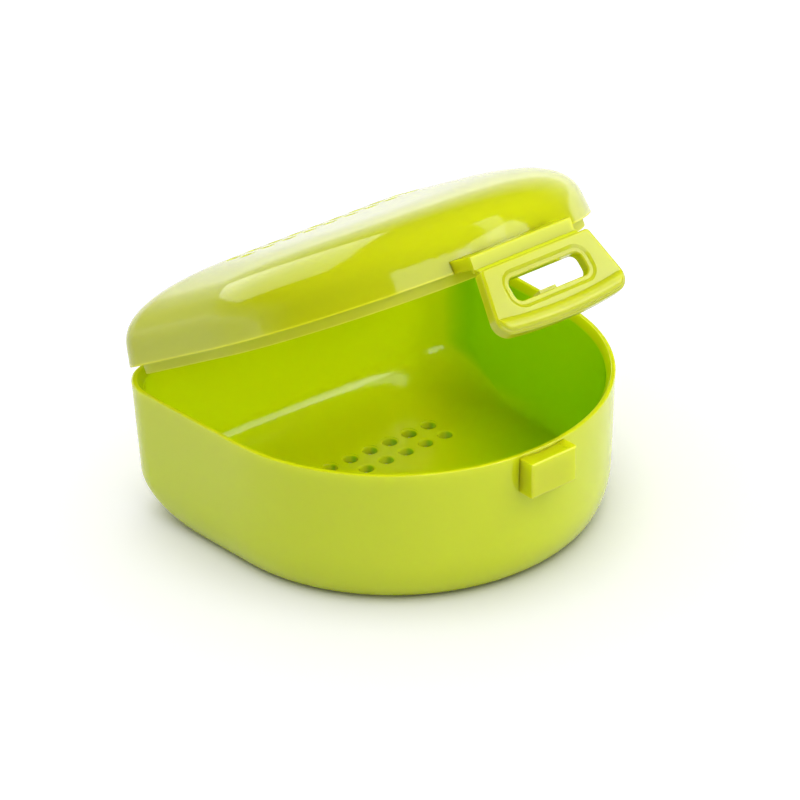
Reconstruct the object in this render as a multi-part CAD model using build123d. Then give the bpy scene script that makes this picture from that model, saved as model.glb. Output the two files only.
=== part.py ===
from build123d import *

import os
from math import asin, atan2, cos, degrees, radians, sin, tan

# A small D-shaped denture case moulded in one flexible plastic. The base is a deep tray with a
# straight back and a round front, the lid is a shallow dome on film hinges at the back, and a
# windowed tab on a film hinge at the front of the lid hooks under a block on the base.
#
# Frame: X to the right, Y to the back (hinge side), Z up. The origin is the centre of the plan, on
# the flat underside. The lid is modelled shut and the tab upright, then both are swung to where
# they stand at rest. Millimetres and degrees.

# ---- Driving dimensions ----
# Plan outline at the rim
half_width = 45.0          # half of the width, measured at the back corners before rounding
depth = 79.6               # back wall to the front of the round nose
side_lean = 2.33           # each side leans inwards towards the front
corner_radius = 9.7        # back corners
corner_growth = 0.23       # how much the corner radius shrinks for each mm of inset

# Base
base_height = 29.94
base_draft = 1.1           # how much the wall leans in from rim to foot
base_round_height = 10.1   # height of the rounded foot
base_round_side = 5.0      # reach of the rounded foot at the sides and front
base_round_back = 20.7     # reach of the long sweep under the back wall
inner_round_share = 0.6    # the foot's rounding gets this much tighter per mm of wall
wall = 1.9                 # thickness of the base wall and of its rim
floor_thickness = 2.0
rim_face = 0.9             # flat top of the rim, outside the bevel
bevel_depth = 1.6          # bevel inside the rim that leads the lid's skirt in
rim_edge_radius = 0.3

# Lid
lid_height = 14.0
lid_skirt_side = 3.3       # plain side of the lid, below its dome
lid_taper = 1.9            # how much the lid's side leans in from rim to top
lid_dome_reach = 28.1      # reach of the dome at the sides and front
lid_dome_reach_back = 17.9
lid_dome_power = 2.7       # superellipse power of the dome
lid_wall = 1.8
skirt_thickness = 0.8      # skirt under the lid that drops inside the tray
skirt_length = 2.2
seat_gap = 0.1             # between the closed lid and the rim
skirt_gap = 0.2            # between the skirt and the tray wall around it

# Lid hinge
lid_open = 28.28           # lid angle at rest
hinge_behind = 1.36        # hinge line behind the back wall
hinge_above = 1.12         # hinge line above the rim
film_thickness = 0.5
strap_width = 12.0
strap_spacing = 44.0       # between the middles of the two straps
strap_grip = 2.0           # how far each strap runs down its lug
lug_height = 3.2

# Catch block on the base
catch_width = 11.4
catch_proud = 3.51         # in front of the rim
catch_height = 7.58
catch_below_rim = 0.43
catch_edge_radius = 0.5 
catch_dish_width = 7.6     # slightly sunk middle of its top face
catch_dish_depth = 0.18

# Latch bar on the lid
bar_width = 25.2
bar_proud = 4.8            # in front of the rim
bar_height = 2.45
bar_lip_thickness = 0.8    # lip that carries the latch film, in front of the catch
bar_lip_below_rim = 0.75
bar_edge_radius = 0.35

# Latch tab, measured along and out from its film hinge
latch_flare = 17.35        # tab angle at rest, out from upright
latch_film_reach = 0.82    # film hinge line in front of the bar
latch_below_rim = 0.33     # film hinge line below the rim
latch_film_width = 25.0
tab_drop = 0.6             # top edge of the tab below the film hinge line
tab_thickness = 2.5
tab_top_width = 27.0
tab_length = 14.4          # along the middle
tab_flare_slope = 0.241    # how much each side widens for each mm of length
tab_bottom_bulge = 1.3
tab_corner_radius = 3.2
tab_top_corner_radius = 0.9
tab_edge_radius = 0.55
window_top = 3.4           # below the top edge of the tab
window_height = 4.9
window_width = 18.4
window_corner_radius = 1.6
window_edge_radius = 0.2
window_dish_margin = 0.9   # shallow dish around the window
window_dish_slope = 0.7    # width of the dish's sloping side
window_dish_depth = 0.3
lip_height = 3.4           # rolled grip along the bottom edge
lip_proud = 0.75
lip_inset = 0.45           # thin flange left around the roll
lip_edge_radius = 1.0
lip_hollow_inset = 1.6     # wall left around the hollow behind the roll
nib_width = 4.0
nib_clearance = 0.2        # under the catch, when shut
nib_bite = 1.1             # how far the nib reaches under the catch
nib_height = 2.6
nib_tip_height = 1.1

# Vent holes, the same grid in the floor and in the lid's top
vent_diameter = 3.0
vent_edge_radius = 0.4
vent_pitch = 5.3
vent_columns = 9
vent_rows = 2
vent_rows_from_back = 19.7

# How far a cutter runs past the face that it opens
cut_spare = 1.0

# ---- Places worked out from them ----
back_y = depth / 2
front_y = -depth / 2
rim_z = base_height
hinge_y = back_y + hinge_behind
hinge_z = rim_z + hinge_above
bar_front_y = front_y - bar_proud
catch_front_y = front_y - catch_proud
catch_top_z = rim_z - catch_below_rim
catch_bottom_z = catch_top_z - catch_height
latch_y = bar_front_y - latch_film_reach
latch_z = rim_z - latch_below_rim
tab_inner_y = latch_y + film_thickness / 2
foot_steps = (0, 15, 30, 45, 60, 75, 90)
dome_steps = (0, 5, 12, 22, 34, 46, 57, 67, 77, 84, 90)


def plan_face(side_inset, back_inset, front_inset, z):
    """The D-shaped outline, inset from the rim's, as a flat face at height z."""
    lean = radians(side_lean)
    width = half_width - side_inset
    back = back_y - back_inset
    front = front_y + front_inset
    radius = (width - tan(lean) * (back - front)) * cos(lean) / (1 - sin(lean))
    nose_y = front + radius
    corner = max(corner_radius - corner_growth * side_inset, 1.0)
    corner_x = width - tan(lean) * corner - corner / cos(lean)
    corner_y = back - corner
    middle = radians(45 - side_lean / 2)
    corner_middle = (corner_x + corner * cos(middle), corner_y + corner * sin(middle))
    side_back = (corner_x + corner * cos(lean), corner_y - corner * sin(lean))
    side_front = (radius * cos(lean), nose_y - radius * sin(lean))

    def mirrored(point):
        return (-point[0], point[1])

    outline = [
        Line((corner_x, back), (-corner_x, back)),
        ThreePointArc((-corner_x, back), mirrored(corner_middle), mirrored(side_back)),
        Line(mirrored(side_back), mirrored(side_front)),
        ThreePointArc(mirrored(side_front), (0, front), side_front),
        Line(side_front, side_back),
        ThreePointArc(side_back, corner_middle, (corner_x, back)),
    ]
    return Pos(0, 0, z) * make_face(Wire(outline).edges())


def prism(inset, z_low, z_high):
    """The outline moved in by the inset, as a straight block."""
    return extrude(plan_face(inset, inset, inset, z_low), z_high - z_low, dir=(0, 0, 1))


def ring(outer_inset, inner_inset, z_low, z_high):
    """A plain wall that follows the rim between two insets."""
    return prism(outer_inset, z_low, z_high) - prism(inner_inset, z_low, z_high)


def foot_loft(inset, floor_z, top_z):
    """Solid inside of the base's surface, moved in by the inset, from floor_z to top_z."""

    def draft(z):
        return inset + base_draft * (1 - z / base_height)

    reach_side = base_round_side - inner_round_share * inset
    reach_back = base_round_back - inset
    foot = []
    for step in foot_steps:
        turn = radians(step)
        z = floor_z + (base_round_height - floor_z) * (1 - cos(turn))
        reach = 1 - sin(turn)
        side = draft(z) + reach_side * reach
        foot.append(plan_face(side, draft(z) + reach_back * reach, side, z))
    top = plan_face(draft(top_z), draft(top_z), draft(top_z), top_z)
    return loft(foot) + loft([foot[-1], top], ruled=True)


def rounded_rim():
    """Thin layer at the top of the rim whose outer edge is rounded."""
    faces = []
    for step in (0, 22.5, 45, 67.5, 90):
        turn = radians(step)
        reach = rim_edge_radius * (1 - cos(turn))
        z = rim_z - rim_edge_radius * (1 - sin(turn))
        faces.append(plan_face(reach, reach, reach, z))
    return loft(faces, ruled=True)


def bevel_cutter():
    """Space inside the rim's bevel, rounded where it meets the flat top of the rim."""
    run = wall - rim_face
    slope = atan2(bevel_depth, run)
    start = rim_face - rim_edge_radius * tan(slope / 2)
    steps = [(start, rim_z + cut_spare)]
    for share in (0, 0.25, 0.5, 0.75, 1):
        turn = slope * share
        drop = rim_edge_radius * (1 - cos(turn))
        steps.append((start + rim_edge_radius * sin(turn), rim_z - drop))
    past = 1 + cut_spare / bevel_depth
    steps.append((rim_face + run * past, rim_z - bevel_depth * past))
    return loft([plan_face(inset, inset, inset, z) for inset, z in steps], ruled=True)


def dome_loft(inset, top_thickness):
    """Solid inside of the closed lid's surface, moved in by the inset."""
    low_z = rim_z + seat_gap
    side_z = rim_z + lid_skirt_side
    rise = lid_height - lid_skirt_side - top_thickness
    reach_side = lid_dome_reach - inset
    reach_back = lid_dome_reach_back - inset
    dome = []
    for step in dome_steps:
        turn = radians(step)
        z = side_z + rise * sin(turn) ** (2 / lid_dome_power)
        reach = 1 - max(cos(turn), 0) ** (2 / lid_dome_power)
        lean = inset + lid_taper * (z - low_z) / lid_height
        side = lean + reach_side * reach
        dome.append(plan_face(side, lean + reach_back * reach, side, z))
    low = plan_face(inset, inset, inset, low_z)
    return loft([low, dome[0]], ruled=True) + loft(dome)


def vent_tools(z_low, z_high):
    """Cutters for the grid of round vents, with a rounded edge at both ends."""
    radius = vent_diameter / 2
    flare = radius + vent_edge_radius
    below = z_low - cut_spare
    above = z_high + cut_spare
    profile = Polyline((0, below), (flare, below), (flare, z_low))
    profile += RadiusArc((flare, z_low), (radius, z_low + vent_edge_radius), vent_edge_radius)
    profile += Line((radius, z_low + vent_edge_radius), (radius, z_high - vent_edge_radius))
    profile += RadiusArc((radius, z_high - vent_edge_radius), (flare, z_high), vent_edge_radius)
    profile += Polyline((flare, z_high), (flare, above), (0, above), (0, below))
    tool = revolve(Plane.XZ * make_face(profile.edges()), Axis.Z)
    tools = []
    for row in range(vent_rows):
        for column in range(vent_columns):
            x = (column - (vent_columns - 1) / 2) * vent_pitch
            y = back_y - vent_rows_from_back - row * vent_pitch
            tools.append(Pos(x, y, 0) * tool)
    return tools


def lug(middle_x, z_low, z_high):
    """Block behind the back wall that carries one end of a hinge strap."""
    root = back_y - wall
    reach = hinge_y - film_thickness / 2
    block = Box(strap_width, reach - root, z_high - z_low)
    return Pos(middle_x, (reach + root) / 2, (z_low + z_high) / 2) * block


def swing_lid(shape):
    """Turns a piece of the closed lid about the back hinge to where it rests."""
    return shape.rotate(Axis((0, hinge_y, hinge_z), (-1, 0, 0)), lid_open)


def swing_latch(shape):
    """Turns a piece of the upright tab about its film hinge, then with the lid."""
    return swing_lid(shape.rotate(Axis((0, latch_y, latch_z), (-1, 0, 0)), latch_flare))


def make_base_shell(outer):
    """Deep tray with a bevelled rim, vents in the floor and two hinge lugs at the back."""
    shell = outer - foot_loft(wall, floor_thickness, rim_z)
    shell -= bevel_cutter()
    for side in (-1, 1):
        block = lug(side * strap_spacing / 2, rim_z - lug_height, rim_z)
        shell += block - outer
    for tool in vent_tools(0, floor_thickness):
        shell -= tool
    return shell


def make_catch_block(outer):
    """Small block on the front of the base, with a slightly sunk top."""
    length = front_y + catch_width / 4 - catch_front_y
    middle_y = catch_front_y + length / 2
    block = Pos(0, middle_y, catch_top_z - catch_height / 2) * Box(catch_width, length, catch_height)
    front = block.faces().sort_by(Axis.Y)[0]
    block = fillet(front.edges(), catch_edge_radius)
    dish_length = length - 2 * catch_edge_radius
    dish = Box(catch_dish_width, dish_length, 2 * catch_dish_depth)
    block -= Pos(0, middle_y + catch_edge_radius, catch_top_z) * dish
    return block - outer


def make_lid_shell(dome):
    """Shallow dome with a skirt that drops inside the tray, vents and two hinge lugs."""
    skirt_outside = wall + skirt_gap
    skirt_inside = skirt_outside + skirt_thickness
    low_z = rim_z + seat_gap
    shell = dome - dome_loft(skirt_inside, lid_wall)
    shell += ring(skirt_outside, skirt_inside, low_z - skirt_length, low_z)
    for side in (-1, 1):
        lug_z = hinge_z + hinge_above
        block = lug(side * strap_spacing / 2, lug_z, lug_z + lug_height)
        shell += block - dome
    for tool in vent_tools(rim_z + lid_height - lid_wall, rim_z + lid_height):
        shell -= tool
    return swing_lid(shell)


def make_latch_bar(dome):
    """Shelf on the front of the lid, with a lip that hangs in front of the catch."""
    low_z = rim_z + seat_gap
    length = front_y + bar_width / 4 - bar_front_y
    shelf = Box(bar_width, length, bar_height)
    bar = Pos(0, bar_front_y + length / 2, low_z + bar_height / 2) * shelf
    lip_drop = bar_lip_below_rim + seat_gap
    lip = Box(bar_width, bar_lip_thickness, lip_drop)
    bar += Pos(0, bar_front_y + bar_lip_thickness / 2, low_z - lip_drop / 2) * lip
    front = bar.faces().sort_by(Axis.Y)[0]
    bar = fillet(front.edges().sort_by(Axis.Z)[-1], bar_edge_radius)
    return swing_lid(bar - dome)


def tab_outline():
    """Outline of the tab: straight top, spreading sides and a bowed bottom edge."""
    top = -tab_drop
    bottom = top - tab_length
    top_x = tab_top_width / 2
    corner_y = bottom + tab_bottom_bulge
    corner_x = top_x + tab_flare_slope * (top - corner_y)
    outline = Polyline((-corner_x, corner_y), (-top_x, top), (top_x, top), (corner_x, corner_y))
    outline += ThreePointArc((corner_x, corner_y), (0, bottom), (-corner_x, corner_y))
    face = make_face(outline.edges())
    corners = face.vertices().sort_by(Axis.Y)
    face = fillet(corners[:2], tab_corner_radius)
    return fillet(face.vertices().sort_by(Axis.Y)[-2:], tab_top_corner_radius)


def bowed(profile):
    """Sweeps a profile in height and thickness along the tab's bowed bottom edge."""
    corner_x = tab_top_width / 2 + tab_flare_slope * (tab_length - tab_bottom_bulge)
    radius = (corner_x ** 2 + tab_bottom_bulge ** 2) / (2 * tab_bottom_bulge)
    bottom = -tab_drop - tab_length
    face = Plane((0, 0, 0), x_dir=(0, 1, 0), z_dir=(1, 0, 0)) * profile
    axis = Axis((0, bottom + radius, 0), (0, 0, 1))
    spread = degrees(asin((corner_x + cut_spare) / radius))
    return revolve(face.rotate(axis, -spread), axis, 2 * spread)


def make_grip(outline):
    """Rolled grip that stands proud along the tab's bottom edge, inside a thin flange."""
    bottom = -tab_drop - tab_length
    high = bottom + lip_height
    crest = tab_thickness + lip_proud
    crest_y = high - lip_height / 2
    low = bottom - cut_spare
    root = tab_thickness / 2
    side = TangentArc((crest_y, crest), (high, tab_thickness), tangent=(1, 0))
    side += Polyline((high, tab_thickness), (high, root), (low, root), (low, crest), (crest_y, crest))
    lower_half = Pos(0, bottom) * Rectangle(2 * tab_top_width, 2 * (lip_height + cut_spare))
    grip = extrude(offset(outline, -lip_inset) & lower_half, crest)
    rounded = grip.faces().sort_by(Axis.Z)[-1].edges().sort_by(Axis.Y)[:-1]
    return fillet(rounded, lip_edge_radius) & bowed(make_face(side.edges()))


def make_grip_hollow(outline):
    """Shallow hollow in the tab's back, behind the rolled grip."""
    low = -tab_drop - tab_length + lip_hollow_inset
    high = low + lip_height - lip_hollow_inset
    arch = ThreePointArc((high, 0), ((low + high) / 2, lip_proud), (low, 0))
    arch += Line((low, 0), (high, 0))
    return bowed(make_face(arch.edges())) & extrude(offset(outline, -lip_hollow_inset), tab_thickness)


def make_window():
    """Cutter for the tab's window, with a sloping dish around it."""
    low_z = tab_thickness - window_dish_depth
    rise = window_dish_depth + cut_spare
    inner = window_dish_margin
    outer = inner + window_dish_slope * rise / window_dish_depth

    def frame(margin, z):
        width = window_width + 2 * margin
        height = window_height + 2 * margin
        return Pos(0, 0, z) * RectangleRounded(width, height, window_corner_radius + margin)

    flare = window_edge_radius
    opening = extrude(frame(0, -cut_spare), tab_thickness + 2 * cut_spare)
    mouth = loft([frame(0, low_z - flare), frame(flare, low_z), frame(flare, low_z + flare)], ruled=True)
    dish = loft([frame(inner, low_z), frame(outer, low_z + rise)], ruled=True)
    middle = -tab_drop - window_top - window_height / 2
    return Pos(0, middle, 0) * (opening + mouth + dish)


def make_latch_tab():
    """Windowed tab with a rolled grip along its bottom edge and a hook nib behind it."""
    outline = tab_outline()
    plate = extrude(outline, tab_thickness)
    front = plate.faces().sort_by(Axis.Z)[-1]
    plate = fillet(front.edges(), tab_edge_radius)
    plate -= make_window()
    plate += make_grip(outline)
    plate -= make_grip_hollow(outline)

    nib_top = catch_bottom_z - nib_clearance - latch_z
    nib_tip = tab_inner_y - catch_front_y - nib_bite
    nib = Polyline((nib_top, 0), (nib_top - nib_height, 0), (nib_top - nib_tip_height, nib_tip),
                   (nib_top, nib_tip), close=True)
    nib_face = Plane((0, 0, 0), x_dir=(0, 1, 0), z_dir=(1, 0, 0)) * make_face(nib.edges())
    plate += extrude(nib_face, nib_width / 2, both=True)

    upright = Plane((0, tab_inner_y, latch_z), x_dir=(1, 0, 0), z_dir=(0, -1, 0))
    return swing_latch(upright * plate)


def make_hinge_strap(middle_x):
    """Film strap at the back: one leaf on the base, one on the lid, bent where they meet."""
    leaf_height = hinge_above + strap_grip
    leaf = Box(strap_width, film_thickness, leaf_height)
    bend = Pos(middle_x, hinge_y, hinge_z) * Rot(0, 90, 0) * Cylinder(film_thickness / 2, strap_width)
    low_leaf = Pos(middle_x, hinge_y, hinge_z - leaf_height / 2) * leaf
    high_leaf = Pos(middle_x, hinge_y, hinge_z + leaf_height / 2) * leaf
    return low_leaf + bend + swing_lid(high_leaf)


def make_latch_film_hinge():
    """Film between the bar and the tab, bent where the tab swings."""
    bend = Pos(0, latch_y, latch_z) * Rot(0, 90, 0) * Cylinder(film_thickness / 2, latch_film_width)
    leaf = Box(latch_film_width, latch_film_reach, film_thickness)
    bar_leaf = Pos(0, latch_y + latch_film_reach / 2, latch_z) * leaf
    leaf = Box(latch_film_width, film_thickness, tab_drop)
    tab_leaf = Pos(0, latch_y, latch_z - tab_drop / 2) * leaf
    return swing_lid(bar_leaf + bend) + swing_latch(tab_leaf)


outer_base = foot_loft(0, 0, rim_z - rim_edge_radius) + rounded_rim()
outer_dome = dome_loft(0, 0)
pieces = {
    "base_shell": make_base_shell(outer_base),
    "catch_block": make_catch_block(outer_base),
    "lid_shell": make_lid_shell(outer_dome),
    "latch_bar": make_latch_bar(outer_dome),
    "latch_tab": make_latch_tab(),
    "hinge_strap_left": make_hinge_strap(-strap_spacing / 2),
    "hinge_strap_right": make_hinge_strap(strap_spacing / 2),
    "latch_film_hinge": make_latch_film_hinge(),
}

os.makedirs("parts", exist_ok=True)
for name, piece in pieces.items():
    export_step(piece, f"parts/{name}.step")
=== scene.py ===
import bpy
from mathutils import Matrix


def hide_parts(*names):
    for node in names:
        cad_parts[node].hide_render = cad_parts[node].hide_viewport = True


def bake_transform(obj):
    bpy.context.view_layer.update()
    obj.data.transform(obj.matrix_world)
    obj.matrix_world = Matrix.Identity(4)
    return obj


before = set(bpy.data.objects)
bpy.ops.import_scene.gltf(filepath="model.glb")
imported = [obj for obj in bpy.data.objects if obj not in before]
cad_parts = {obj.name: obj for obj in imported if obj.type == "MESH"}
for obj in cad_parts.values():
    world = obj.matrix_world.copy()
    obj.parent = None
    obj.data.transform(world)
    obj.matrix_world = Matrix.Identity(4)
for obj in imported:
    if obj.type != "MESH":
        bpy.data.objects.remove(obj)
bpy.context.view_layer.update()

from math import cos, pi, radians, sin

import bmesh
import bpy
from mathutils import Matrix, Vector

# ---- Base ----
# A deep D-shaped tray, injection moulded in lime green polypropylene, with a bevelled rim and two
# rows of round vents in its floor. The plastic is glossy and lets light through its thin wall.
MM = 0.001
LIME = (0.59, 0.66, 0.005, 1.0)
DEEP_LIME = (0.555, 0.63, 0.003, 1.0)
# Painted light and shade inside the tray: a bright green for light through the thin wall, and
# painted shade toward the right back corner and on the right wall. It stops below the rim.
INSIDE_PAINTED_LIGHT = (0.73, 0.87, 0.002, 1.0)
INSIDE_PAINTED_SHADE = (0.42, 0.70, 0.001, 1.0)
INSIDE_LEAN = (1.0, -1.0, 0.0)
TRAY_MIDDLE = Vector((0, 3, 14)) * MM
PAINTED_INSIDE_TOP = (28.2 * MM, 28.6 * MM)
CORNER_SHADE = (2 * MM, 33 * MM)
RIGHT_WALL_FACING = (-0.95, -0.6)
INWARD_REACH = (-2 * MM, 1 * MM)
NOISE_MIDDLE = (0.3, 0.7)
FLOW_SCALE = 28.0
FLOW_STRETCH = (1.0, 0.35, 1.0)
SCUFF_SCALE = 900.0
SCUFF_STRETCH = (1.0, 0.2, 1.0)
WAVE_SCALE = 45.0
GRAIN_SCALE = 2600.0
POLYPROPYLENE_IOR = 1.49
LIGHT_TRAVEL = (0.85, 1.0, 0.05)


def add(tree, kind, **values):
    """A shader node with its settings and its plain socket values."""
    node = tree.nodes.new(kind)
    for name, value in values.items():
        if name in node.inputs:
            node.inputs[name].default_value = value
        else:
            setattr(node, name, value)
    return node


def grade(tree, source, low, high, start=0.0, end=1.0):
    """Maps a value between low and high to start and end, and holds it beyond them."""
    node = add(tree, "ShaderNodeMapRange")
    for name, value in (("From Min", low), ("From Max", high), ("To Min", start), ("To Max", end)):
        node.inputs[name].default_value = value
    tree.links.new(source, node.inputs["Value"])
    return node.outputs["Result"]


def tint(tree, factor, first, second):
    """A mix of two colours. Each may be a plain colour or another node's output."""
    node = add(tree, "ShaderNodeMix", data_type="RGBA")
    for colour, socket in ((first, node.inputs["A"]), (second, node.inputs["B"])):
        if isinstance(colour, tuple):
            socket.default_value = colour
        else:
            tree.links.new(colour, socket)
    tree.links.new(factor, node.inputs["Factor"])
    return node.outputs["Result"]


def speckle(tree, place, scale, detail, stretch=(1, 1, 1)):
    """Noise in the piece's own space, drawn out along an axis where the melt flowed."""
    mapping = add(tree, "ShaderNodeMapping", Scale=stretch)
    texture = add(tree, "ShaderNodeTexNoise", Scale=scale, Detail=detail)
    tree.links.new(place, mapping.inputs["Vector"])
    tree.links.new(mapping.outputs["Vector"], texture.inputs["Vector"])
    return texture.outputs["Fac"]


def lime_plastic(name, shade=LIME, second=DEEP_LIME, roughness=0.10, see_through=0.9, depth=6.0):
    """Glossy translucent plastic with faint flow marks and fine handling wear. Depth is in mm."""
    material = bpy.data.materials.new(name)
    material.use_nodes = True
    tree = material.node_tree
    shader = tree.nodes["Principled BSDF"]
    place = add(tree, "ShaderNodeTexCoord").outputs["Object"]
    flow_marks = speckle(tree, place, FLOW_SCALE, 3.0, FLOW_STRETCH)
    colour = tint(tree, grade(tree, flow_marks, *NOISE_MIDDLE), shade, second)
    tree.links.new(colour, shader.inputs["Base Color"])

    scuffs = speckle(tree, place, SCUFF_SCALE, 6.0, SCUFF_STRETCH)
    wear = grade(tree, scuffs, *NOISE_MIDDLE, roughness - 0.03, roughness + 0.05)
    tree.links.new(wear, shader.inputs["Roughness"])

    waviness = add(tree, "ShaderNodeBump", Strength=0.10, Distance=0.2 * MM)
    tree.links.new(speckle(tree, place, WAVE_SCALE, 1.0), waviness.inputs["Height"])
    grain = add(tree, "ShaderNodeBump", Strength=0.05, Distance=0.03 * MM)
    tree.links.new(speckle(tree, place, GRAIN_SCALE, 2.0), grain.inputs["Height"])
    tree.links.new(waviness.outputs["Normal"], grain.inputs["Normal"])
    tree.links.new(grain.outputs["Normal"], shader.inputs["Normal"])

    shader.inputs["IOR"].default_value = POLYPROPYLENE_IOR
    shader.inputs["Subsurface Weight"].default_value = see_through
    shader.inputs["Subsurface Radius"].default_value = LIGHT_TRAVEL
    shader.inputs["Subsurface Scale"].default_value = depth * MM
    return material


def facing_in(tree, place, middle):
    """1 on the faces that look in to the middle of a shell, 0 on its outside and its rim."""
    normal = add(tree, "ShaderNodeTexCoord").outputs["Normal"]
    reach = add(tree, "ShaderNodeVectorMath", operation="SUBTRACT")
    tree.links.new(place, reach.inputs[0])
    reach.inputs[1].default_value = middle
    facing = add(tree, "ShaderNodeVectorMath", operation="DOT_PRODUCT")
    tree.links.new(reach.outputs["Vector"], facing.inputs[0])
    tree.links.new(normal, facing.inputs[1])
    return grade(tree, facing.outputs["Value"], *INWARD_REACH, 1.0, 0.0)


def paint_inside_light_and_shade(material):
    """Painted light and shade inside the tray: a bright green, darker to the right, where less
    light reaches it.
    """
    tree = material.node_tree
    shader = tree.nodes["Principled BSDF"]
    outside = shader.inputs["Base Color"].links[0].from_socket
    place = add(tree, "ShaderNodeTexCoord").outputs["Object"]
    axes = add(tree, "ShaderNodeSeparateXYZ")
    tree.links.new(place, axes.inputs["Vector"])
    lean = add(tree, "ShaderNodeVectorMath", operation="DOT_PRODUCT")
    tree.links.new(place, lean.inputs[0])
    lean.inputs[1].default_value = INSIDE_LEAN
    towards_corner = grade(tree, lean.outputs["Value"], *CORNER_SHADE)
    normal = add(tree, "ShaderNodeSeparateXYZ")
    tree.links.new(add(tree, "ShaderNodeTexCoord").outputs["Normal"], normal.inputs["Vector"])
    right_wall = grade(tree, normal.outputs["X"], *RIGHT_WALL_FACING, 1.0, 0.0)
    across = add(tree, "ShaderNodeMath", operation="MAXIMUM")
    tree.links.new(towards_corner, across.inputs[0])
    tree.links.new(right_wall, across.inputs[1])
    # Painted shade toward the right back corner and on the right wall, and painted light elsewhere
    # inside.
    green = tint(tree, across.outputs["Value"], INSIDE_PAINTED_LIGHT, INSIDE_PAINTED_SHADE)
    below_rim = grade(tree, axes.outputs["Z"], *PAINTED_INSIDE_TOP, 1.0, 0.0)
    both = add(tree, "ShaderNodeMath", operation="MULTIPLY")
    tree.links.new(facing_in(tree, place, TRAY_MIDDLE), both.inputs[0])
    tree.links.new(below_rim, both.inputs[1])
    tree.links.new(tint(tree, both.outputs["Value"], outside, green), shader.inputs["Base Color"])


def finish_node(name, material):
    """Gives a CAD node its finish."""
    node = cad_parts[name]
    for held in node.material_slots:
        held.material = material


tray_plastic = lime_plastic("tray plastic")
# Painted light and shade on the tray's inside.
paint_inside_light_and_shade(tray_plastic)
finish_node("base_shell", tray_plastic)

# ---- Catch ----
# The block moulded on the front of the tray, which the tab hooks under. It is solid, so it lets
# less light through than the tray's thin wall. Its darker colour is painted shade for that and for
# the strong light on its top.
CATCH_LIME = (0.56, 0.595, 0.006, 1.0)
finish_node("catch_block", lime_plastic("catch plastic", CATCH_LIME, DEEP_LIME))

# ---- Lid ----
# A shallow dome with a skirt that drops inside the tray, and two rows of vents. The bar on its
# front carries the tab. Lid and bar come out of one mould. The skirt's paler colour is a painted
# glow for light through its thin plastic, and its edges carry painted highlights.
# Painted shade: the dome and bar colours are set darker than the tray's, to offset the stronger
# light on the lid's top and front.
LID_LIME = (0.485, 0.515, 0.006, 1.0)
LID_DEEP = (0.465, 0.495, 0.004, 1.0)
LID_INSIDE = (0.56, 0.64, 0.003, 1.0)
BAR_LIME = (0.50, 0.52, 0.008, 1.0)
# Painted glow on the skirt, and painted highlights along its top and foot edges.
SKIRT_PAINTED_GLOW = (0.62, 0.66, 0.004, 1.0)
EDGE_PAINTED_HIGHLIGHT = (0.76, 0.80, 0.02, 1.0)
LID_HINGE = Vector((0, 41.16, 31.06)) * MM
LID_UP = (0, 0.4738, 0.8806)
LID_MIDDLE = Vector((0, 8.6, 50.8)) * MM
SKIRT_TOP = -1.0 * MM
SKIRT_FOOT = -3.2 * MM
SKIRT_START = (SKIRT_TOP - 0.05 * MM, SKIRT_TOP + 0.05 * MM)
RIM_EDGE = (SKIRT_TOP + 0.1 * MM, SKIRT_TOP + 0.45 * MM)
FOOT_EDGE = (SKIRT_FOOT + 0.1 * MM, SKIRT_FOOT + 0.3 * MM)
SKIRT_ROUGHNESS = 0.55
LID_ROUGHNESS = 0.09
LID_DEPTH = 9.0


def finish_skirt(material):
    """The skirt is thinner and duller than the dome, paler as a painted glow, and its edges carry
    painted highlights.
    """
    tree = material.node_tree
    shader = tree.nodes["Principled BSDF"]
    place = add(tree, "ShaderNodeTexCoord").outputs["Object"]
    reach = add(tree, "ShaderNodeVectorMath", operation="SUBTRACT")
    tree.links.new(place, reach.inputs[0])
    reach.inputs[1].default_value = LID_HINGE
    height = add(tree, "ShaderNodeVectorMath", operation="DOT_PRODUCT")
    tree.links.new(reach.outputs["Vector"], height.inputs[0])
    height.inputs[1].default_value = LID_UP
    height = height.outputs["Value"]
    skirt = grade(tree, height, *SKIRT_START, 1.0, 0.0)
    rim_edge = grade(tree, height, *RIM_EDGE, 1.0, 0.0)
    foot_edge = grade(tree, height, *FOOT_EDGE, 1.0, 0.0)

    dome_colour = shader.inputs["Base Color"].links[0].from_socket
    colour = tint(tree, facing_in(tree, place, LID_MIDDLE), dome_colour, LID_INSIDE)
    # Painted highlights on the rim edge and the foot edge, and a painted glow on the skirt.
    colour = tint(tree, rim_edge, colour, EDGE_PAINTED_HIGHLIGHT)
    colour = tint(tree, skirt, colour, SKIRT_PAINTED_GLOW)
    colour = tint(tree, foot_edge, colour, EDGE_PAINTED_HIGHLIGHT)
    tree.links.new(colour, shader.inputs["Base Color"])
    wear = add(tree, "ShaderNodeMix")
    tree.links.new(skirt, wear.inputs["Factor"])
    tree.links.new(shader.inputs["Roughness"].links[0].from_socket, wear.inputs["A"])
    wear.inputs["B"].default_value = SKIRT_ROUGHNESS
    tree.links.new(wear.outputs["Result"], shader.inputs["Roughness"])


lid_plastic = lime_plastic("lid plastic", LID_LIME, LID_DEEP, LID_ROUGHNESS, depth=LID_DEPTH)
finish_skirt(lid_plastic)
finish_node("lid_shell", lid_plastic)
finish_node("latch_bar", lime_plastic("bar plastic", BAR_LIME, LID_LIME))

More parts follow.
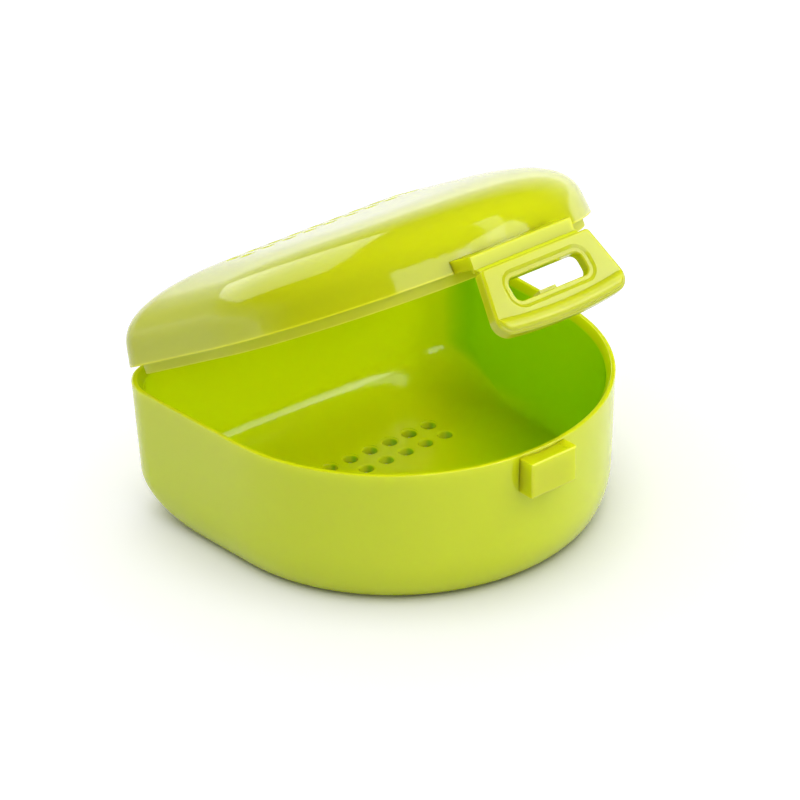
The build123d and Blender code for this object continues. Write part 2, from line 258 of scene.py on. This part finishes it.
# ---- Latch tab ----
# A windowed tab with a rolled grip along its bottom edge and a hook nib behind its lower bar.
# It is moulded in one with the lid, from the same plastic.
# Painted shade: the tab's colour is set darker than the tray's, to offset the stronger light on its
# up-turned face.
TAB_LIME_AND_SHADE = (0.465, 0.485, 0.012, 1.0)
TAB_DEEP = (0.445, 0.465, 0.008, 1.0)
finish_node("latch_tab", lime_plastic("tab plastic", TAB_LIME_AND_SHADE, TAB_DEEP))

# ---- Film hinges ----
# Thin strips of the same plastic, moulded in one with what they join: two short straps at the
# back of the tray and one wide film between the bar and the tab. Each is thinnest where it bends.
FILM_LIME = (0.55, 0.60, 0.012, 1.0)
FILM_THICKNESS = 0.5 * MM
FILM_THINNED = 0.35
FILM_EDGE = 0.12 * MM
FILM_ROUGHNESS = 0.16
FILM_SEE_THROUGH = 0.15
SHARP_ANGLE = radians(40)
BEND_STEPS = 10
LEAF_STEPS = 5


def film_spine(near_end, axis, far_end, bend_reach):
    """Points across a film: a flat leaf, a smooth bend round the axis line, and the other leaf."""
    near_bend = axis + (near_end - axis).normalized() * bend_reach
    far_bend = axis + (far_end - axis).normalized() * bend_reach
    spine = [near_end.lerp(near_bend, step / LEAF_STEPS) for step in range(LEAF_STEPS)]
    for step in range(BEND_STEPS + 1):
        share = step / BEND_STEPS
        spine.append(near_bend.lerp(axis, share).lerp(axis.lerp(far_bend, share), share))
    spine += [far_bend.lerp(far_end, (step + 1) / LEAF_STEPS) for step in range(LEAF_STEPS)]
    return spine


def film_mesh(name, spine, low_x, high_x):
    """Sweeps a thin section with eased edges along the spine, thinner at the middle of the bend."""
    shape = bmesh.new()
    rings = []
    for step, point in enumerate(spine):
        ahead = spine[min(step + 1, len(spine) - 1)] - spine[max(step - 1, 0)]
        normal = Vector((0, ahead.z, -ahead.y)).normalized()
        from_middle = abs(step / (len(spine) - 1) - 0.5) * 4
        half = FILM_THICKNESS / 2 * (1 - FILM_THINNED * max(0.0, 1 - from_middle ** 2))
        section = []
        for x, inner_x, way in ((high_x, high_x - FILM_EDGE, 1), (low_x, low_x + FILM_EDGE, -1)):
            edge = ((inner_x, -half), (x, FILM_EDGE - half), (x, half - FILM_EDGE), (inner_x, half))
            section += edge[::way]
        corners = [Vector((x, 0, 0)) + point + normal * off for x, off in section]
        rings.append([shape.verts.new(corner) for corner in corners])
    for first, second in zip(rings, rings[1:]):
        for turn in range(len(first)):
            following = (turn + 1) % len(first)
            shape.faces.new((first[turn], first[following], second[following], second[turn]))
    shape.faces.new(rings[0][::-1])
    shape.faces.new(rings[-1])
    bmesh.ops.recalc_face_normals(shape, faces=shape.faces)
    mesh = bpy.data.meshes.new(name)
    shape.to_mesh(mesh)
    shape.free()
    mesh.shade_smooth()
    mesh.set_sharp_from_angle(angle=SHARP_ANGLE)
    piece = bpy.data.objects.new(name, mesh)
    bpy.context.collection.objects.link(piece)
    return piece


film_plastic = lime_plastic(
    "film plastic", FILM_LIME, DEEP_LIME, FILM_ROUGHNESS, see_through=FILM_SEE_THROUGH
)
STRAP_FOOT = Vector((0, 41.16, 27.96)) * MM
STRAP_TIP = Vector((0, 42.63, 33.79)) * MM
STRAP_BEND = 0.7 * MM
STRAP_INNER = 16.0 * MM
STRAP_OUTER = 28.0 * MM
strap_sides = (("left", -STRAP_OUTER, -STRAP_INNER), ("right", STRAP_INNER, STRAP_OUTER))
for side, low_x, high_x in strap_sides:
    spine = film_spine(STRAP_FOOT, LID_HINGE, STRAP_TIP, STRAP_BEND)
    strap = film_mesh("strap_" + side, spine, low_x, high_x)
    strap.data.materials.append(film_plastic)
    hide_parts("hinge_strap_" + side)
    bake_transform(strap)

LATCH_FILM_ROOT = Vector((0, -35.03, 70.40)) * MM
LATCH_HINGE = Vector((0, -35.774, 70.802)) * MM
LATCH_FILM_TIP = Vector((0, -36.205, 70.38)) * MM
LATCH_FILM_BEND = 0.3 * MM
LATCH_FILM_HALF_WIDTH = 12.5 * MM
spine = film_spine(LATCH_FILM_ROOT, LATCH_HINGE, LATCH_FILM_TIP, LATCH_FILM_BEND)
latch_film = film_mesh("latch_film", spine, -LATCH_FILM_HALF_WIDTH, LATCH_FILM_HALF_WIDTH)
latch_film.data.materials.append(film_plastic)
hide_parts("latch_film_hinge")
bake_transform(latch_film)

# ---- Studio ----
# A white floor and world, with four plain lamps: overhead, front, front right and back left.
# Four softboxes are only mirrored. The one behind has a corner cut off, and its reflection lies
# along the lid's shoulder.
CAMERA_TARGET = Vector((5.08, 9.60, 18.22)) * MM
CAMERA_DISTANCE = 813.4 * MM
CAMERA_AZIMUTH = radians(-39.27)
CAMERA_ELEVATION = radians(28.83)
CAMERA_ROLL = radians(-1.39)
LENS = 180.0
SENSOR_WIDTH = 36.0
CLIP_START = 0.01
CLIP_END = 20.0

back = Vector((
    sin(CAMERA_AZIMUTH) * cos(CAMERA_ELEVATION),
    -cos(CAMERA_AZIMUTH) * cos(CAMERA_ELEVATION),
    sin(CAMERA_ELEVATION),
))
right = Vector((0, 0, 1)).cross(back).normalized()
up = back.cross(right)
turned_right = right * cos(CAMERA_ROLL) + up * sin(CAMERA_ROLL)
turned_up = up * cos(CAMERA_ROLL) - right * sin(CAMERA_ROLL)
lens = bpy.data.cameras.new("camera")
lens.lens = LENS
lens.sensor_width = SENSOR_WIDTH
lens.clip_start = CLIP_START
lens.clip_end = CLIP_END
camera = bpy.data.objects.new("camera", lens)
bpy.context.collection.objects.link(camera)
stand = Matrix((turned_right, turned_up, back)).transposed().to_4x4()
stand.translation = CAMERA_TARGET + back * CAMERA_DISTANCE
camera.matrix_world = stand
bpy.context.scene.camera = camera

FLOOR_SIZE = 8.0
FLOOR_WHITE = (0.94, 0.94, 0.96, 1)
FLOOR_ROUGHNESS = 0.9
# Painted light: the floor emits a glow where it is open to the sky and far from the case. The glow
# narrows and lightens the shadow and whitens the far floor, both in view and in reflections.
FLOOR_LIFT = 0.34
FLOOR_LIFT_OPEN = (0.25, 0.75)
FLOOR_LIFT_REACH = 32 * MM
FAR_FLOOR_LIFT = 0.6
FAR_FLOOR = (0.25, 1.2)


def floor_material():
    """Matte white that keeps the object's shadow, with a painted glow that lifts it to plain white
    away from it.
    """
    material = bpy.data.materials.new("white floor")
    material.use_nodes = True
    tree = material.node_tree
    shader = tree.nodes["Principled BSDF"]
    shader.inputs["Base Color"].default_value = FLOOR_WHITE
    shader.inputs["Roughness"].default_value = FLOOR_ROUGHNESS
    shader.inputs["Specular IOR Level"].default_value = 0.0
    lift = add(tree, "ShaderNodeEmission")
    open_air = add(tree, "ShaderNodeAmbientOcclusion", Distance=FLOOR_LIFT_REACH)
    near_lift = grade(tree, open_air.outputs["AO"], *FLOOR_LIFT_OPEN, 0.0, FLOOR_LIFT)
    distance = add(tree, "ShaderNodeVectorMath", operation="LENGTH")
    tree.links.new(add(tree, "ShaderNodeTexCoord").outputs["Object"], distance.inputs[0])
    far_lift = grade(tree, distance.outputs["Value"], *FAR_FLOOR, 0.0, FAR_FLOOR_LIFT)
    strength = add(tree, "ShaderNodeMath", operation="ADD")
    tree.links.new(near_lift, strength.inputs[0])
    tree.links.new(far_lift, strength.inputs[1])
    tree.links.new(strength.outputs["Value"], lift.inputs["Strength"])
    both = add(tree, "ShaderNodeAddShader")
    seen = add(tree, "ShaderNodeMixShader")
    rays = add(tree, "ShaderNodeLightPath")
    direct = add(tree, "ShaderNodeMath", operation="MAXIMUM")
    tree.links.new(rays.outputs["Is Camera Ray"], direct.inputs[0])
    tree.links.new(rays.outputs["Is Glossy Ray"], direct.inputs[1])
    tree.links.new(direct.outputs["Value"], seen.inputs["Fac"])
    tree.links.new(shader.outputs["BSDF"], seen.inputs[1])
    tree.links.new(shader.outputs["BSDF"], both.inputs[0])
    tree.links.new(lift.outputs["Emission"], both.inputs[1])
    tree.links.new(both.outputs["Shader"], seen.inputs[2])
    tree.links.new(seen.outputs["Shader"], tree.nodes["Material Output"].inputs["Surface"])
    return material


bpy.ops.mesh.primitive_plane_add(size=FLOOR_SIZE, location=(0, 0, 0))
floor = bpy.context.object
floor.name = "floor"
floor.data.materials.append(floor_material())
off_the_floor = bpy.data.collections.new("off the floor")
off_the_floor.objects.link(floor)
off_the_floor.collection_objects[0].light_linking.link_state = "EXCLUDE"

LAMP_AIM = Vector((0, 0, 45 * MM))


def soft_light(
    name, toward, distance, width, height, level, across=None, lights=True, mirrors=True
):
    """A rectangular soft light towards an azimuth and elevation from the case. Level 1 is white."""
    azimuth, elevation = (radians(angle) for angle in toward)
    away = Vector((sin(azimuth) * cos(elevation), -cos(azimuth) * cos(elevation), sin(elevation)))
    side = Vector(across or (cos(azimuth), sin(azimuth), 0))
    side = (side - away * side.dot(away)).normalized()
    data = bpy.data.lights.new(name, "AREA")
    data.shape = "RECTANGLE"
    data.size = width
    data.size_y = height
    data.energy = level * pi * width * height
    lamp = bpy.data.objects.new(name, data)
    bpy.context.collection.objects.link(lamp)
    lamp.matrix_world = Matrix((side, away.cross(side), away)).transposed().to_4x4()
    lamp.location = away * distance + LAMP_AIM
    lamp.visible_diffuse = lights
    lamp.visible_glossy = mirrors
    return lamp


soft_light("overhead light", (0, 90), 1.3, 2.4, 2.4, 0.92, mirrors=False)
key = soft_light("key light", (62, 42), 1.2, 0.9, 0.6, 2.8, mirrors=False)
fill = soft_light("front light", (4, 41), 1.1, 1.6, 1.2, 1.65, mirrors=False)
left = soft_light("back left light", (-150, 30), 1.2, 1.0, 0.8, 1.3, mirrors=False)
for lamp in (key, fill, left):
    lamp.light_linking.receiver_collection = off_the_floor

BACK_TILT = (-0.93, -0.15, 0.31)
RIGHT_TILT = (0, 0.915, 0.404)
window = soft_light("back softbox", (-178, 31), 3.0, 2.9, 2.2, 1.75, BACK_TILT, lights=False)
soft_light("right softbox", (59, 49.5), 2.0, 1.64, 0.44, 1.8, RIGHT_TILT, lights=False)
soft_light("front left softbox", (-9, 27), 2.0, 1.64, 1.22, 2.6, lights=False)
soft_light("front right softbox", (36, 27), 2.0, 1.64, 1.22, 2.6, lights=False)

WINDOW_MIDDLE = (0.5, 0.5, 0)
WINDOW_CUT = (-0.4156 * 0.966, 0.9096 * 0.733, 0.0)
WINDOW_CUT_SPAN = (0.2713, 0.2913)
window.data.use_nodes = True
tree = window.data.node_tree
across_window = add(tree, "ShaderNodeVectorMath", operation="SUBTRACT")
tree.links.new(add(tree, "ShaderNodeNewGeometry").outputs["Parametric"], across_window.inputs[0])
across_window.inputs[1].default_value = WINDOW_MIDDLE
corner = add(tree, "ShaderNodeVectorMath", operation="DOT_PRODUCT")
tree.links.new(across_window.outputs["Vector"], corner.inputs[0])
corner.inputs[1].default_value = WINDOW_CUT
lit = grade(tree, corner.outputs["Value"], *WINDOW_CUT_SPAN, 1.0, 0.0)
tree.links.new(lit, tree.nodes["Emission"].inputs["Strength"])

WORLD_FILL = 0.33
WORLD_MIRRORED = 0.05
SWEEP_GLOW = 0.9
SWEEP_RISE = (0.0, 0.4)
SWEEP_BACK = (0.0, 0.5)
world = bpy.data.worlds.new("studio")
bpy.context.scene.world = world
world.use_nodes = True
tree = world.node_tree
sky = tree.nodes["Background"]
sky.inputs["Color"].default_value = (1, 1, 1, 1)
rays = add(tree, "ShaderNodeLightPath")
heading = add(tree, "ShaderNodeSeparateXYZ")
tree.links.new(add(tree, "ShaderNodeTexCoord").outputs["Generated"], heading.inputs["Vector"])
sweep = add(tree, "ShaderNodeMath", operation="MULTIPLY")
rise = grade(tree, heading.outputs["Z"], *SWEEP_RISE, SWEEP_GLOW, 0.0)
tree.links.new(rise, sweep.inputs[0])
tree.links.new(grade(tree, heading.outputs["Y"], *SWEEP_BACK), sweep.inputs[1])
mirrored = add(tree, "ShaderNodeMath", operation="ADD")
tree.links.new(sweep.outputs["Value"], mirrored.inputs[0])
mirrored.inputs[1].default_value = WORLD_MIRRORED
level = add(tree, "ShaderNodeMix")
tree.links.new(rays.outputs["Is Glossy Ray"], level.inputs["Factor"])
level.inputs["A"].default_value = WORLD_FILL
tree.links.new(mirrored.outputs["Value"], level.inputs["B"])
seen = add(tree, "ShaderNodeMath", operation="MAXIMUM")
tree.links.new(level.outputs["Result"], seen.inputs[0])
tree.links.new(rays.outputs["Is Camera Ray"], seen.inputs[1])
tree.links.new(seen.outputs["Value"], sky.inputs["Strength"])

bpy.context.scene.view_settings.view_transform = "Standard"
